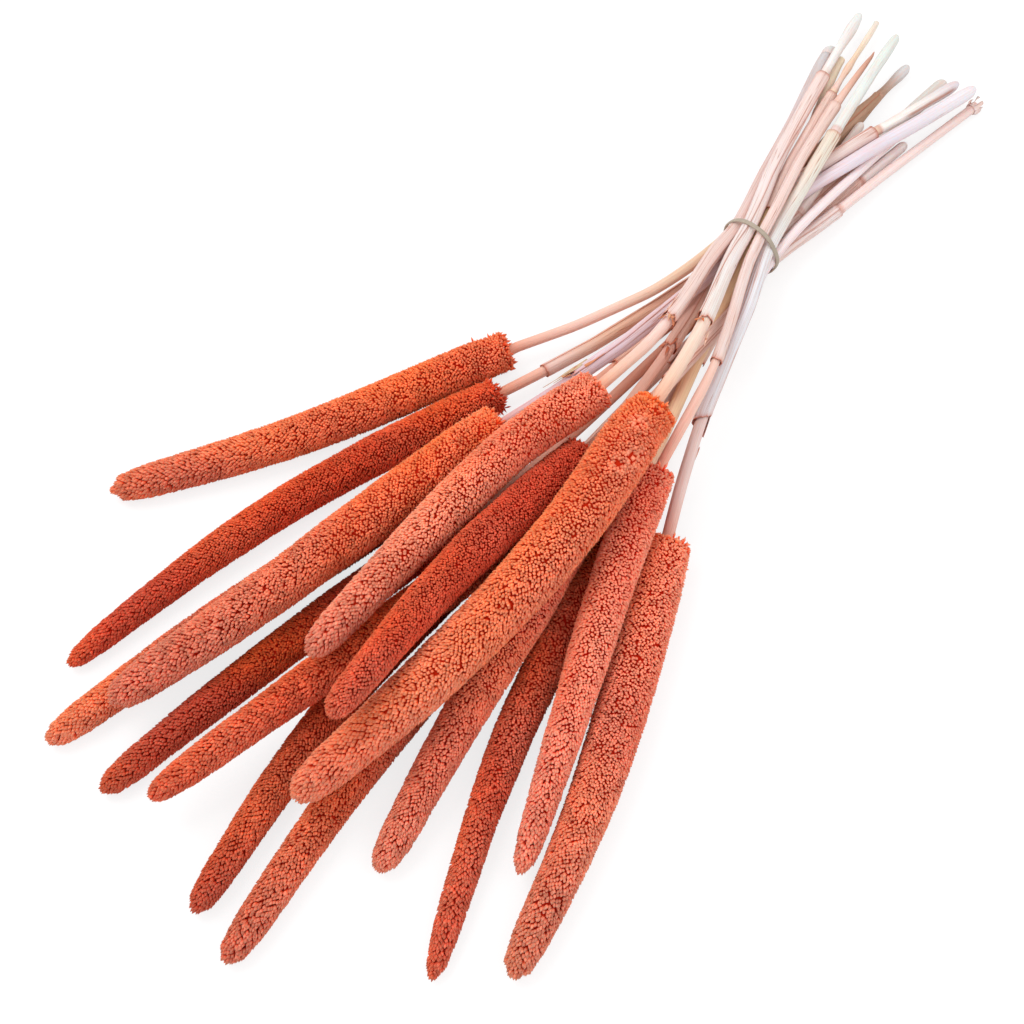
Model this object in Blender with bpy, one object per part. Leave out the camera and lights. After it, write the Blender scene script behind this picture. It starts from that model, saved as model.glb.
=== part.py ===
# Dried babala stems (pearl millet), dyed coral: fifteen stems lying down, tied with one rubber band.
# +X runs along the bunch towards the cut ends, +Z is up, and the bunch lies on z = 0.
# Each stem's place in plan is given. How high it lies in the heap is worked out by letting all of them
# sink together as stiff rods, until they rest on the table and on each other.
import math

import bmesh
import bpy
import numpy as np

# Driving dimensions, in millimetres.
MM = 0.001
GAP = 0.4                # air between one piece and the next
JOIN_GAP = 0.3           # air between a head's base and the stalk under it
SAMPLE_STEP = 5.0        # along the bunch, where a stem's place is worked out
STIFF_LENGTH = 24.0      # over which a stem spreads the push of one step
SETTLE_STEPS = 500
PART_STEPS = 600         # after them, in which nothing sinks and what still overlaps parts
FALL = 0.3               # of every stem in the first step
FALL_SHARE = 0.6         # of the steps, over which that fades out
HEAD_WEIGHT = 0.05       # how far a seed head's weight, and a stalk's, takes it down in each step
STALK_WEIGHT = 0.02
SETTLE_MARGIN = 0.5      # more air while they settle
SIDE_GIVE = 0.6          # share of a sideways push that a stem takes
PLAN_HOLD = 0.99         # share of its drift out of plan that it keeps from step to step
END_MARGIN = 1.0         # a stem meets nothing closer to its ends than this
LEAST_APART = 0.01       # so that two middles in one place can still be pushed apart
SLOPE_STEP = 0.5
FOOT_LIFT = 0.5          # of a stalk's height in the tie, kept at its cut end before it settles
HEAD_SINK = 0.3          # how far a head's grains give way on the table
HEAD_SIDES = 10
HEAD_RINGS = 12
HEAD_BASE_WIDTH = 0.74   # of the head's full width, where its base closes
HEAD_BASE_ROUND = 0.05   # of the head's length
HEAD_TIP_ROUND = 0.06
HEAD_TIP_CLOSE = 0.75    # how much of the tip's cross-section the rounding takes away
HEAD_TAPER_START = 0.30  # of the length from the base, full width up to there
HEAD_TAPER_POWER = 1.6
STALK_SIDES = 6
STALK_STEP = 45.0        # between a stalk's rings
BEND_STEP = 20.0         # between its rings where the band gathers it
BEND_REACH = 60.0
CLOSEST_RINGS = 8.0
SHEATH_GAP = 0.3         # between a stalk and the dry leaf sheath round it
SHEATH_WALL = 0.6
SHEATH_CLEAR = 2.0       # past its ends, where the neighbours still clear it
BAND_WIDTH = 2.4
BAND_THICKNESS = 1.1
BAND_SIDES = 28
TIE_PITCH = 8.4          # between stalks that lie side by side in the band
ROW_STEP = 7.0           # between the rows of stalks in it
FIRST_ROW = 6.0          # height of the lowest one
TIE_RADIUS = 17.5        # of the bundle inside the band, which holds it together over TIE_REACH
TIE_REACH = 8.0
LAYER_STEP = 25.0        # between the layers of heads before they settle
CREASE_DEGREES = 50

CORAL = (0.79, 0.17, 0.07, 1.0)
PINK_STRAW = (0.80, 0.60, 0.52, 1.0)
PALE_SHEATH = (0.84, 0.68, 0.63, 1.0)
TAUPE_RUBBER = (0.40, 0.35, 0.28, 1.0)


def spline_bends(x, y):
    """Second derivatives of the natural cubic spline through the knots, which is how a thin rod bends."""
    count = len(x)
    step = np.diff(x)
    matrix = np.eye(count)
    right = np.zeros(count)
    for k in range(1, count - 1):
        matrix[k, k - 1:k + 2] = (step[k - 1], 2 * (step[k - 1] + step[k]), step[k])
        right[k] = 6 * ((y[k + 1] - y[k]) / step[k] - (y[k] - y[k - 1]) / step[k - 1])
    return np.linalg.solve(matrix, right)


def spline_value(x, y, bends, at):
    """The height of that spline at the places given."""
    k = np.clip(np.searchsorted(x, at) - 1, 0, len(x) - 2)
    step = x[k + 1] - x[k]
    left = (x[k + 1] - at) / step
    right = 1 - left
    bend = (left ** 3 - left) * bends[k] + (right ** 3 - right) * bends[k + 1]
    return left * y[k] + right * y[k + 1] + bend * step ** 2 / 6


def plan_step(start, step, way):
    """Where a length and its direction lead in plan: way is -1 towards the heads and 1 to the cut ends."""
    length, degrees = step
    turn = math.radians(degrees)
    return start[0] + way * length * math.cos(turn), start[1] + length * math.sin(turn)


class Stem:
    """One stem of the fan, in plan, in millimetres and in degrees from the bunch's length: how far its
    head starts from the tie and in which direction, the head's length and direction, the same for the part
    past the tie, the layer in which its head lies, its row and place (in half pitches) in the tie, its
    widths, the sideways bow of its head, and how far its stalk sways aside half-way to the tie."""

    def __init__(self, number, reach, head, tail, layer, tie, head_width, tip_width, bow=0, sway=0,
                 neck=5.8, foot=6.6):
        self.number = number
        base = self.base = plan_step((0, 0), reach, -1)
        tip = self.tip = plan_step(base, head, -1)
        cut = self.cut = plan_step((0, 0), tail, 1)
        self.head_radius = head_width / 2
        self.tip_ratio = tip_width / head_width
        self.neck_radius = neck / 2
        self.foot_radius = foot / 2
        self.sheath = None
        self.sample_x = None
        along = np.subtract(base, tip)
        across = np.array((along[1], -along[0])) / np.linalg.norm(along)
        middle = np.add(tip, base) / 2 + bow * across
        row, place = tie
        self.layer = layer
        self.row = row
        held = np.array((0, place * TIE_PITCH / 2))
        across = np.array((held[1] - base[1], base[0])) / np.linalg.norm(held - base)
        half_way = (held + base) / 2 + sway * across
        knots = (tip, middle, base, half_way, held, cut) if sway else (tip, middle, base, held, cut)
        self.knots = np.array(knots, dtype=float)
        self.bends = spline_bends(self.knots[:, 0], self.knots[:, 1])

    def side(self, x):
        if self.sample_x is None:
            return spline_value(self.knots[:, 0], self.knots[:, 1], self.bends, x)
        return np.interp(x, self.sample_x, self.sample_y)

    def start_height(self, x):
        """Its height before it settles: level in its layer, and down to its row in the tie."""
        layer = self.head_radius + LAYER_STEP * self.layer
        row = FIRST_ROW + ROW_STEP * (self.row - 1)
        foot = self.foot_radius + FOOT_LIFT * (row - FIRST_ROW)
        return np.interp(x, (self.tip[0], self.base[0], 0, self.cut[0]), (layer, layer, row, foot))

    def heading(self, x):
        return np.arctan2(self.side(x + SLOPE_STEP) - self.side(x - SLOPE_STEP), 2 * SLOPE_STEP)

    def height(self, x):
        return np.interp(x, self.sample_x, self.sample_z)

    def head_radius_at(self, x):
        """Rounded in at the base, full, tapering over the outer part and round at the tip."""
        from_base = np.clip((self.base[0] - x) / (self.base[0] - self.tip[0]), 0.0, 1.0)
        taper = np.clip((from_base - HEAD_TAPER_START) / (1 - HEAD_TAPER_START), 0.0, 1.0)
        base_round = np.clip(1 - from_base / HEAD_BASE_ROUND, 0.0, 1.0)
        tip_round = np.clip(1 - (1 - from_base) / HEAD_TIP_ROUND, 0.0, 1.0)
        radius = self.head_radius * (1 - (1 - self.tip_ratio) * taper ** HEAD_TAPER_POWER)
        radius = radius * (1 - (1 - HEAD_BASE_WIDTH) * base_round ** 2)
        return radius * np.sqrt(1 - HEAD_TIP_CLOSE * tip_round ** 2)

    def stalk_radius_at(self, x):
        along = np.clip((x - self.base[0]) / (self.cut[0] - self.base[0]), 0.0, 1.0)
        return self.neck_radius + (self.foot_radius - self.neck_radius) * along

    def outer_radius_at(self, x):
        """What the neighbours have to clear: the head, the sheath or the bare stalk."""
        radius = self.stalk_radius_at(x)
        if self.sheath:
            covered = (x > self.sheath[0] - SHEATH_CLEAR) & (x < self.sheath[1] + SHEATH_CLEAR)
            radius = np.where(covered, radius + SHEATH_GAP + SHEATH_WALL, radius)
        return np.where(x < self.base[0], self.head_radius_at(x), radius)


# The stems from one edge of the fan to the other.
STEMS = (
    Stem(1, (155, 24), (230, 26), (185, -8), 1, (3, 5), 25, 18, bow=8, sway=8),
    Stem(2, (175, 17), (270, 12), (120, -2), 0, (1, 3), 23, 13, bow=-10, sway=4, foot=6),
    Stem(3, (195, 7), (245, 11), (190, -8), 1, (2, 2), 29, 19, bow=4, sway=7, foot=8.5),
    Stem(4, (225, 6), (250, 14), (190, -2), 0, (1, 1), 26, 16, bow=-3),
    Stem(5, (150, -6), (210, 4), (175, 18), 3, (3, 3), 26, 17, foot=8),
    Stem(6, (230, 1), (240, 10), (135, -7), 0, (1, -1), 23, 15, bow=-2),
    Stem(7, (225, -6), (235, 10), (140, -5), 1, (2, -4), 24, 15, bow=2, foot=6),
    Stem(8, (180, -6), (200, -4), (185, 4), 2, (2, 0), 25, 15, bow=-6, foot=7.5),
    Stem(9, (145, -13), (270, -1), (205, 17), 3, (3, 1), 32, 21, bow=13, sway=4, neck=7),
    Stem(10, (240, -2), (240, -6), (190, -10), 0, (1, -3), 23, 15, bow=-9, foot=6),
    Stem(11, (245, -10), (245, -4), (125, 5), 0, (2, -2), 24, 16, bow=-4, foot=6),
    Stem(12, (200, -12), (215, -11), (170, 21), 0, (3, -1), 26, 16, bow=-3, foot=5.5),
    Stem(13, (170, -15), (280, -20), (205, 14), 0, (4, 0), 24, 12, bow=-12, neck=6.5, foot=4.5),
    Stem(14, (170, -20), (220, -22), (175, 12), 1, (4, -2), 25, 12, bow=-3, sway=6, foot=6),
    Stem(15, (195, -23), (240, -22), (190, 9), 0, (3, -3), 29, 17, bow=8, neck=6.5),
)

# Dry leaf sheaths that still wrap their stalks: from the open end near the head to the node.
SHEATHS = {
    1: (20, 116),
    2: (-138, -16),
    3: (-146, 40),
    4: (-110, 118),
    5: (-85, 156),
    6: (20, 90),
    7: (-110, -16),
    8: (-88, 152),
    9: (-76, 132),
    10: (-90, 60),
    11: (-78, 40),
    13: (20, 125),
    14: (-86, 114),
    15: (-120, 92),
}


def rod_smoother(count):
    """The matrix by which a stiff rod spreads a push along its length."""
    second = np.diff(np.eye(count), 2, axis=0) * (STIFF_LENGTH / SAMPLE_STEP) ** 2
    return np.linalg.inv(np.eye(count) + second.T @ second)


def settle(stems):
    """Lets the stems sink onto the table and each other, all at once and in small steps.
    They start in layers, with each one at its place in the tie. In each step they sink a little, stems
    that meet are pushed apart across their length, the band draws in what lies outside it, and each stem
    takes the push as a stiff rod would."""
    x = np.arange(min(stem.tip[0] for stem in stems), max(stem.cut[0] for stem in stems), SAMPLE_STEP)
    alive = np.array([(x > stem.tip[0] + END_MARGIN) & (x < stem.cut[0] - END_MARGIN) for stem in stems])
    plan = np.array([stem.side(x) for stem in stems])
    lean = np.array([np.cos(stem.heading(x)) for stem in stems])
    radius = np.array([stem.outer_radius_at(x) for stem in stems])
    on_head = np.array([x < stem.base[0] for stem in stems])
    flat = math.cos(math.pi / HEAD_SIDES)
    floor = np.where(on_head, radius * flat - HEAD_SINK, radius)
    floor = np.where(np.abs(x) < BAND_WIDTH + SAMPLE_STEP, radius + GAP + BAND_THICKNESS, floor)
    side = plan.copy()
    height = np.maximum(np.array([stem.start_height(x) for stem in stems]), floor)
    weight = np.where(on_head, HEAD_WEIGHT, STALK_WEIGHT)
    tied = alive & (np.abs(x) < TIE_REACH)
    smoothers = [rod_smoother(int(here.sum())) for here in alive]
    reach = radius[:, None] + radius + GAP + SETTLE_MARGIN
    pair_lean = 0.5 * (lean[:, None] + lean)
    both = alive[:, None] & alive & ~np.eye(len(stems), dtype=bool)[:, :, None]
    for step in range(SETTLE_STEPS + PART_STEPS):
        across = (side[:, None] - side) * pair_lean
        up = height[:, None] - height
        apart = np.maximum(np.hypot(across, up), LEAST_APART)
        push = np.where(both, np.maximum(reach - apart, 0), 0) * 0.5
        move_side = SIDE_GIVE * (push * across / apart / pair_lean).sum(axis=1)
        move_up = (push * up / apart).sum(axis=1)
        above_middle = height - TIE_RADIUS - BAND_THICKNESS - GAP
        from_middle = np.maximum(np.hypot(side, above_middle), LEAST_APART)
        squeeze = np.where(tied, np.maximum(from_middle + radius - TIE_RADIUS, 0), 0) / from_middle
        move_side -= squeeze * side
        move_up -= squeeze * above_middle
        sink = weight + FALL * max(0.0, 1 - step / (FALL_SHARE * SETTLE_STEPS))
        for k, here in enumerate(alive):
            if step < SETTLE_STEPS:
                drift = (side[k] - plan[k] + move_side[k])[here]
                side[k, here] = plan[k, here] + PLAN_HOLD * (smoothers[k] @ drift)
                height[k, here] = smoothers[k] @ (height[k] + move_up[k] - sink[k])[here]
            else:
                side[k, here] += smoothers[k] @ move_side[k, here]
                height[k, here] += smoothers[k] @ move_up[k, here]
            height[k] = np.maximum(height[k], floor[k])
    for k, stem in enumerate(stems):
        stem.sample_x = x[alive[k]]
        stem.sample_y = side[k, alive[k]]
        stem.sample_z = height[k, alive[k]]


def ring_points(stem, x, radius, sides):
    """Upright rings of corners across the stem, none of them under the table."""
    turn = 2 * np.pi * np.arange(sides) / sides
    out = radius[:, None] * np.cos(turn)
    heading = stem.heading(x)[:, None]
    points = np.empty((len(x), sides, 3))
    points[..., 0] = x[:, None] - out * np.sin(heading)
    points[..., 1] = stem.side(x)[:, None] + out * np.cos(heading)
    points[..., 2] = np.maximum(stem.height(x)[:, None] + radius[:, None] * np.sin(turn), 0)
    return points


def skin(first, rings, sides):
    """Quads between rings of corners that follow each other from the first corner's number."""
    quads = []
    for ring in range(rings - 1):
        low = first + ring * sides
        for k in range(sides):
            after = (k + 1) % sides
            quads.append((low + k, low + after, low + sides + after, low + sides + k))
    return quads


def solid_rod(points):
    """Corners and faces of a rod that is closed across its first and last rings."""
    rings, sides = points.shape[:2]
    last = (rings - 1) * sides
    ends = [tuple(range(sides)), tuple(range(last, last + sides))]
    return points.reshape(-1, 3), skin(0, rings, sides) + ends


def hollow_rod(inner, outer):
    """Corners and faces of a tube between two skins, closed by a rim at each end."""
    rings, sides = inner.shape[:2]
    count = rings * sides
    faces = skin(0, rings, sides) + skin(count, rings, sides)
    for low in (0, count - sides):
        for k in range(sides):
            after = (k + 1) % sides
            faces.append((low + k, low + after, low + count + after, low + count + k))
    return np.vstack((inner.reshape(-1, 3), outer.reshape(-1, 3))), faces


def head_shape(stem):
    """The seed head: rings crowd towards its two rounded ends."""
    along = 0.5 - 0.5 * np.cos(np.pi * np.arange(HEAD_RINGS) / (HEAD_RINGS - 1))
    start = stem.base[0] - JOIN_GAP / 2
    x = start + along * (stem.tip[0] - start)
    return solid_rod(ring_points(stem, x, stem.head_radius_at(x), HEAD_SIDES))


def stalk_stations(stem):
    """Places for a stalk's rings, closer where the band gathers it, with one at each end of its sheath."""
    start = stem.base[0] + JOIN_GAP / 2
    fixed = np.array((start, stem.cut[0]) + (stem.sheath or ()))
    near = np.arange(-BEND_REACH, BEND_REACH + 1, BEND_STEP)
    head_side = np.arange(-BEND_REACH - STALK_STEP, start, -STALK_STEP)
    cut_side = np.arange(BEND_REACH + STALK_STEP, stem.cut[0], STALK_STEP)
    free = np.concatenate((head_side, near, cut_side))
    free = free[(free > start) & (free < stem.cut[0])]
    clear = np.abs(free[:, None] - fixed).min(axis=1) > CLOSEST_RINGS
    return np.sort(np.concatenate((fixed, free[clear])))


def stalk_shape(stem):
    x = stalk_stations(stem)
    return solid_rod(ring_points(stem, x, stem.stalk_radius_at(x), STALK_SIDES))


def sheath_shape(stem):
    """The sheath's rings stand where its stalk's rings stand, so that the gap between them stays even."""
    x = stalk_stations(stem)
    x = x[(x >= stem.sheath[0]) & (x <= stem.sheath[1])]
    inside = stem.stalk_radius_at(x) + SHEATH_GAP
    inner = ring_points(stem, x, inside, STALK_SIDES)
    outer = ring_points(stem, x, inside + SHEATH_WALL, STALK_SIDES)
    return hollow_rod(inner, outer)


def band_loop(x, reach):
    """Corners of the loop whose sides lie at the given reach in each of the band's directions."""
    turn = 2 * np.pi / BAND_SIDES
    here = turn * np.arange(BAND_SIDES)
    after = here + turn
    reach_after = np.roll(reach, -1)
    points = np.full((BAND_SIDES, 3), float(x))
    points[:, 1] = (reach * np.sin(after) - reach_after * np.sin(here)) / math.sin(turn)
    points[:, 2] = (reach_after * np.cos(here) - reach * np.cos(after)) / math.sin(turn)
    return points


def band_shape():
    """A flat rubber band, stretched round all the stalks: it touches the farthest one on every side."""
    turn = 2 * np.pi * np.arange(BAND_SIDES) / BAND_SIDES
    edges = np.array((-BAND_WIDTH / 2, 0, BAND_WIDTH / 2))
    reach = np.full(BAND_SIDES, -np.inf)
    for stem in STEMS:
        for x in edges:
            centre = stem.side(x) * np.cos(turn) + stem.height(x) * np.sin(turn)
            reach = np.maximum(reach, centre + stem.outer_radius_at(x) + GAP)
    inner = np.array([band_loop(x, reach) for x in edges[[0, 2]]])
    outer = np.array([band_loop(x, reach + BAND_THICKNESS) for x in edges[[0, 2]]])
    return hollow_rod(inner, outer)


def material(name, colour, roughness):
    finish = bpy.data.materials.new(name)
    finish.use_nodes = True
    shader = finish.node_tree.nodes["Principled BSDF"]
    shader.inputs["Base Color"].default_value = colour
    shader.inputs["Roughness"].default_value = roughness
    shader.inputs["Metallic"].default_value = 0.0
    return finish


def add_piece(name, shape, shift, finish):
    corners, faces = shape
    mesh = bpy.data.meshes.new(name)
    mesh.from_pydata(((corners + shift) * MM).tolist(), [], faces)
    mesh.update()
    piece = bpy.data.objects.new(name, mesh)
    bpy.context.scene.collection.objects.link(piece)
    mesh.materials.append(finish)
    turn_faces_out(mesh)
    mesh.shade_smooth()
    mesh.set_sharp_from_angle(angle=math.radians(CREASE_DEGREES))
    return piece


def turn_faces_out(mesh):
    work = bmesh.new()
    work.from_mesh(mesh)
    bmesh.ops.recalc_face_normals(work, faces=work.faces)
    work.to_mesh(mesh)
    work.free()


def main():
    for thing in list(bpy.data.objects):
        bpy.data.objects.remove(thing, do_unlink=True)
    for number, span in SHEATHS.items():
        STEMS[number - 1].sheath = span
    settle(STEMS)

    shapes = []
    coral = material("dyed_grain", CORAL, 0.85)
    straw = material("dried_stalk", PINK_STRAW, 0.6)
    leaf = material("dry_leaf_sheath", PALE_SHEATH, 0.7)
    rubber = material("rubber", TAUPE_RUBBER, 0.55)
    for stem in STEMS:
        shapes.append((f"head_{stem.number:02d}", head_shape(stem), coral))
        shapes.append((f"stalk_{stem.number:02d}", stalk_shape(stem), straw))
        if stem.sheath:
            shapes.append((f"sheath_{stem.number:02d}", sheath_shape(stem), leaf))
    shapes.append(("band", band_shape(), rubber))

    corners = np.vstack([shape[0] for _, shape, _ in shapes])
    shift = -0.5 * (corners.min(axis=0) + corners.max(axis=0))
    shift[2] = -corners[:, 2].min()
    for name, shape, finish in shapes:
        add_piece(name, shape, shift, finish)


main()
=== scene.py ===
# A tied bunch of dried, dyed babala (pearl millet) stems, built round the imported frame.
import math

import bpy
import numpy as np
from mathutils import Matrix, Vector


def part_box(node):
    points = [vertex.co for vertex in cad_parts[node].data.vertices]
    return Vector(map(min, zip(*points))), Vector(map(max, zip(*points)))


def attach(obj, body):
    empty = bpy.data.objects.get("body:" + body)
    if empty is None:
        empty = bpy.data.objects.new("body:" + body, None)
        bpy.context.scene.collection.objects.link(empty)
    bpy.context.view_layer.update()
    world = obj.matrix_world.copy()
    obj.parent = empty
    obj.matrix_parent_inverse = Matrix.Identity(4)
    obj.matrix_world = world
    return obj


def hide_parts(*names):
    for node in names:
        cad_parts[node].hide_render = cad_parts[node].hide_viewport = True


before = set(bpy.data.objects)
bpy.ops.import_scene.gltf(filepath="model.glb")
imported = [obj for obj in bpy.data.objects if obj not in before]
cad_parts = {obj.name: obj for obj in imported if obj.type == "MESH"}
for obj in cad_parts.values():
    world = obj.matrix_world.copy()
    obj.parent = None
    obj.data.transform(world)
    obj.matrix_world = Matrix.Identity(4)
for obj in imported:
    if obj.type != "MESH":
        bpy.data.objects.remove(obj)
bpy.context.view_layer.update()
mm = 0.001
goldenAngle = math.pi * (3 - math.sqrt(5))
print("frame loaded:", len(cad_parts), "nodes")


def linear(hexText):
    # an sRGB hex colour as the linear numbers a shader takes
    channels = np.array([int(hexText[k:k + 2], 16) / 255 for k in (0, 2, 4)])
    return np.where(channels <= 0.04045, channels / 12.92, ((channels + 0.055) / 1.055) ** 2.4)


def unit(vectors):
    return vectors / np.linalg.norm(vectors, axis=-1, keepdims=True)


def smoothStep(low, high, x):
    t = np.clip((x - low) / (high - low), 0, 1)
    return t * t * (3 - 2 * t)


def ripple(seed, scale, *axes):
    # a soft random field: six sine waves of random direction and phase, about one wave per scale
    rng = np.random.default_rng(seed)
    field = 0
    for _ in range(6):
        turns = rng.normal(0, 2.2 / scale, len(axes))
        field = field + np.sin(sum(t * a for t, a in zip(turns, axes)) + rng.uniform(0, 2 * np.pi))
    return field / 2.4


def cornersOf(mesh):
    corners = np.empty(len(mesh.vertices) * 3)
    mesh.vertices.foreach_get("co", corners)
    return corners.reshape(-1, 3)


def readLine(node, count=60, stiffness=6.0, headFirst=False):
    # Cuts the CAD solid with planes across its chord. An edge from a to b crosses the plane at s in the point
    # a + (b - a)(s - sa) / (sb - sa); the middle of that outline is the line, and half its width the radius.
    # The line is then smoothed as a thin rod: (I + k D'D) smooth = line, where D takes second differences.
    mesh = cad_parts[node].data
    corners = cornersOf(mesh)
    edges = np.empty(len(mesh.edges) * 2, int)
    mesh.edges.foreach_get("vertices", edges)
    first, last = corners[edges[::2]], corners[edges[1::2]]
    chord = np.linalg.svd(corners - corners.mean(0), full_matrices=False)[2][0]
    chord = chord * np.sign(chord[0])
    side = unit(np.cross((0, 0, 1), chord))
    up = np.cross(chord, side)
    sa, sb = first @ chord, last @ chord
    low, high = (corners @ chord).min(), (corners @ chord).max()
    inset = 0.012 * (high - low)
    stations = np.linspace(low + inset, high - inset, count)
    crossing = (sa[:, None] - stations) * (sb[:, None] - stations) < 0
    share = (stations - sa[:, None]) / np.where(crossing, sb[:, None] - sa[:, None], 1)
    points = first[:, None] + share[..., None] * (last - first)[:, None]
    points[~crossing] = np.nan
    across, rise = points @ side, points @ up
    middle = 0.5 * (np.nanmin(across, 0) + np.nanmax(across, 0))
    level = 0.5 * (np.nanmin(rise, 0) + np.nanmax(rise, 0))
    radius = 0.5 * (np.nanmax(across, 0) - np.nanmin(across, 0))
    line = stations[:, None] * chord + middle[:, None] * side + level[:, None] * up
    bend = np.diff(np.eye(count), 2, axis=0)
    line = np.linalg.solve(np.eye(count) + stiffness * bend.T @ bend, line)
    line = np.vstack((line[0] - inset * chord, line, line[-1] + inset * chord))
    radius = np.concatenate((radius[:1], radius, radius[-1:]))
    if headFirst:
        line, radius = line[::-1], radius[::-1]
    length = np.concatenate(([0], np.cumsum(np.linalg.norm(np.diff(line, axis=0), axis=1))))
    return {"points": line, "radius": radius, "at": length, "length": length[-1]}


def along(line, s):
    # centre, direction, side and up of a line at the lengths s; past its ends it runs straight on
    s = np.asarray(s, float)
    table = line["points"]
    inside = np.clip(s, 0, line["length"])
    pick = lambda rows: np.stack([np.interp(inside, line["at"], rows[:, k]) for k in range(3)], -1)
    direction = unit(pick(np.gradient(table, line["at"], axis=0)))
    centre = pick(table) + (s - inside)[..., None] * direction
    side = unit(np.cross(np.array((0.0, 0.0, 1.0)), direction))
    return centre, direction, side, np.cross(direction, side)


def makeMesh(name, corners, faceGroups, layers=None, uvs=None):
    # corners of a piece and its faces, as arrays with one row of corner numbers for each face
    mesh = bpy.data.meshes.new(name)
    mesh.vertices.add(len(corners))
    mesh.vertices.foreach_set("co", np.ascontiguousarray(corners, np.float32).ravel())
    loops = np.concatenate([group.ravel() for group in faceGroups])
    sizes = np.concatenate([np.full(len(group), group.shape[1]) for group in faceGroups])
    mesh.loops.add(len(loops))
    mesh.loops.foreach_set("vertex_index", loops.astype(np.int32))
    mesh.polygons.add(len(sizes))
    mesh.polygons.foreach_set("loop_start", np.concatenate(([0], np.cumsum(sizes)[:-1])).astype(np.int32))
    mesh.update(calc_edges=True)
    mesh.shade_smooth()
    for title, values in (layers or {}).items():
        kind, field = ("FLOAT_COLOR", "color") if values.shape[1] == 4 else ("FLOAT_VECTOR", "vector")
        layer = mesh.attributes.new(title, kind, "POINT")
        layer.data.foreach_set(field, np.ascontiguousarray(values, np.float32).ravel())
    if uvs is not None:
        mesh.uv_layers.new(name="OFBake").data.foreach_set("uv", np.concatenate(
            [group.reshape(-1, 2) for group in uvs]).astype(np.float32).ravel())
    piece = bpy.data.objects.new(name, mesh)
    bpy.context.scene.collection.objects.link(piece)
    return piece


def gridFaces(rows, columns, first=0, wrap=True):
    # quads of a grid of corners stored row by row; wrapped, its last column joins its first
    row, column = np.meshgrid(np.arange(rows - 1), np.arange(columns if wrap else columns - 1), indexing="ij")
    after = (column + 1) % columns
    quads = np.stack((row * columns + column, row * columns + after,
                      (row + 1) * columns + after, (row + 1) * columns + column), -1)
    return quads.reshape(-1, 4) + first


def gridUvs(rows, columns, box, wrap=True):
    # the same quads laid flat in a box (left, bottom, right, top) of the map
    row, column = np.meshgrid(np.arange(rows - 1), np.arange(columns if wrap else columns - 1), indexing="ij")
    count = columns if wrap else columns - 1
    u = np.stack((column, column + 1, column + 1, column), -1) / count
    v = np.stack((row, row, row + 1, row + 1), -1) / (rows - 1)
    left, bottom, right, top = box
    return np.stack((left + (right - left) * u, bottom + (top - bottom) * v), -1).reshape(-1, 4, 2)


def finishPiece(piece, node, material):
    # it rides on the bunch's only body, in place of its CAD node
    piece.data.materials.append(material)
    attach(piece, "root")
    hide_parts(node)
    return piece


def addNode(tree, kind, inputs=None, **settings):
    # a node of that kind; an input is a plain value or the socket it is linked from
    added = tree.nodes.new(kind)
    for name, value in settings.items():
        setattr(added, name, value)
    for name, value in (inputs or {}).items():
        if isinstance(value, bpy.types.NodeSocket):
            tree.links.new(value, added.inputs[name])
        else:
            added.inputs[name].default_value = value
    return added


def newMaterial(name, roughness, **sockets):
    material = bpy.data.materials.new(name)
    material.use_nodes = True
    shader = material.node_tree.nodes["Principled BSDF"]
    shader.inputs["Roughness"].default_value = roughness
    for socket, value in sockets.items():
        shader.inputs[socket.replace("_", " ")].default_value = value
    return material, material.node_tree, shader


# millimetres and degrees; azimuth 0 looks along +Y
view = {"target": (-78, -8, 20), "distance": 900, "azimuth": -49, "elevation": 62, "lens": 60}


def makeCamera():
    # it stands back from its target along (sin turn cos tilt, -cos turn cos tilt, sin tilt)
    turn, tilt = math.radians(view["azimuth"]), math.radians(view["elevation"])
    back = Vector((math.sin(turn) * math.cos(tilt), -math.cos(turn) * math.cos(tilt), math.sin(tilt)))
    lens = bpy.data.cameras.new("camera")
    lens.lens = view["lens"]
    camera = bpy.data.objects.new("camera", lens)
    camera.location = (Vector(view["target"]) + back * view["distance"]) * mm
    camera.rotation_euler = (-back).to_track_quat("-Z", "Y").to_euler()
    bpy.context.scene.collection.objects.link(camera)
    bpy.context.scene.camera = camera


def softBox(name, place, size, power):
    # a round lamp that faces the bunch; metres and watts
    lamp = bpy.data.lights.new(name, "AREA")
    lamp.shape = "DISK"
    lamp.size = size
    lamp.energy = power
    box = bpy.data.objects.new(name, lamp)
    box.location = place
    box.rotation_euler = (Vector((-0.05, 0, 0)) - Vector(place)).to_track_quat("-Z", "Y").to_euler()
    bpy.context.scene.collection.objects.link(box)


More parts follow.
